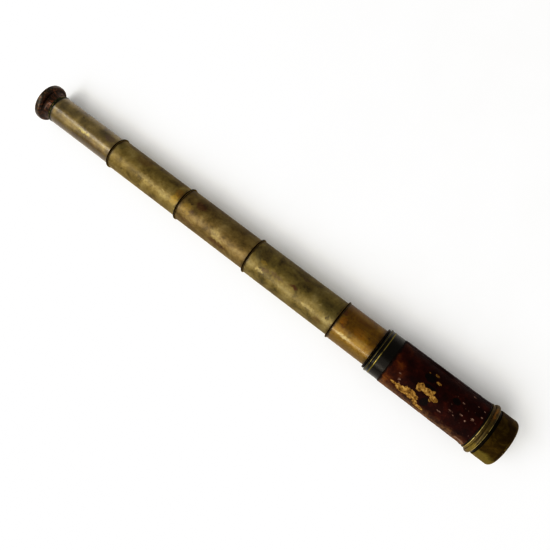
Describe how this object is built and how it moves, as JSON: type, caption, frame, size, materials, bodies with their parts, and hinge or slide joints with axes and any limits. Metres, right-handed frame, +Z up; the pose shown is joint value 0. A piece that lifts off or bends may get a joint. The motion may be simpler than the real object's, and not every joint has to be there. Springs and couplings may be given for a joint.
{
  "type": "pocket telescope",
  "caption": "Drawtube pocket telescope in aged brass with a leather-covered barrel, sliding draws, a flared eyecup with a swinging dust shutter, and a slip-on objective cap.",
  "frame": {"origin": "centre of the underside: below the middle of the overall length at the drawn-out rest pose, at the height of the lowest point of the large bead", "axes": "+X along the optical axis towards the objective, +Z up as the telescope lies, and the optical axis runs 19 mm above the origin"},
  "size_m": [0.4174, 0.038, 0.038],
  "materials": {
    "patina_brass": "aged satin, olive patina",
    "bright_brass": "worn satin, orange gold",
    "dark_brass": "blackened, worn at the edges",
    "worn_bronze": "blackened lip, lacquer worn to red-brown",
    "leather": "old polished hide, flaked and scuffed",
    "inner_black": "matt optical black",
    "glass": "polished"
  },
  "bodies": {
    "barrel": {"barrel_tube": "patina_brass", "leather_cover": "leather", "barrel_ferrule": "dark_brass", "barrel_collar": "dark_brass", "barrel_spring_sleeve": "bright_brass", "objective_band": "patina_brass", "objective_cell": "dark_brass", "flint_lens": "glass", "lens_spacer": "patina_brass", "crown_lens": "glass", "objective_retainer": "dark_brass"},
    "cap": {"objective_cap": "dark_brass"},
    "draw5": {"draw5_tube": "bright_brass", "draw5_collar": "dark_brass", "draw5_spring_sleeve": "bright_brass", "draw5_stop_ring": "dark_brass"},
    "draw4": {"draw4_tube": "patina_brass", "draw4_collar": "dark_brass", "draw4_spring_sleeve": "bright_brass", "draw4_stop_ring": "dark_brass"},
    "draw3": {"draw3_tube": "patina_brass", "draw3_collar": "dark_brass", "draw3_spring_sleeve": "bright_brass", "draw3_stop_ring": "dark_brass"},
    "draw2": {"draw2_tube": "patina_brass", "draw2_collar": "dark_brass", "draw2_spring_sleeve": "bright_brass", "draw2_stop_ring": "dark_brass"},
    "draw1": {"draw1_tube": "patina_brass", "draw1_stop_ring": "dark_brass", "eyepiece_flange": "dark_brass", "eyecup": "worn_bronze", "eye_lens": "glass", "eye_lens_ring": "dark_brass", "eyepiece_tube": "inner_black", "field_stop": "inner_black", "field_lens": "glass", "field_lens_ring": "dark_brass", "erector_tube": "inner_black", "erector_stop": "inner_black", "erector_rear_cell": "dark_brass", "erector_rear_lens": "glass", "erector_rear_ring": "dark_brass", "erector_front_cell": "dark_brass", "erector_front_lens": "glass", "erector_front_ring": "dark_brass", "shutter_screw": "bright_brass"},
    "shutter": {"shutter_plate": "bright_brass", "shutter_knob": "bright_brass"}
  },
  "joints": [
    {"name": "draw5_slide", "type": "slide", "parent": "barrel", "child": "draw5", "axis": [-1, 0, 0], "range_m": [-0.0311, 0.0388]},
    {"name": "draw4_slide", "type": "slide", "parent": "draw5", "child": "draw4", "axis": [-1, 0, 0], "range_m": [-0.0745, 0.0002]},
    {"name": "draw3_slide", "type": "slide", "parent": "draw4", "child": "draw3", "axis": [-1, 0, 0], "range_m": [-0.0636, 0.0111]},
    {"name": "draw2_slide", "type": "slide", "parent": "draw3", "child": "draw2", "axis": [-1, 0, 0], "range_m": [-0.0659, 0.0088]},
    {"name": "draw1_slide", "type": "slide", "parent": "draw2", "child": "draw1", "axis": [-1, 0, 0], "range_m": [-0.0594, 0.0153]},
    {"name": "cap_slide", "type": "slide", "parent": "barrel", "child": "cap", "axis": [1, 0, 0], "range_m": [0, 0.03]},
    {"name": "shutter_swing", "type": "hinge", "parent": "draw1", "child": "shutter", "pos_m": [-0.2063, 0, 0.0244], "axis": [-1, 0, 0], "range_deg": [-80, 0]}
  ]
}
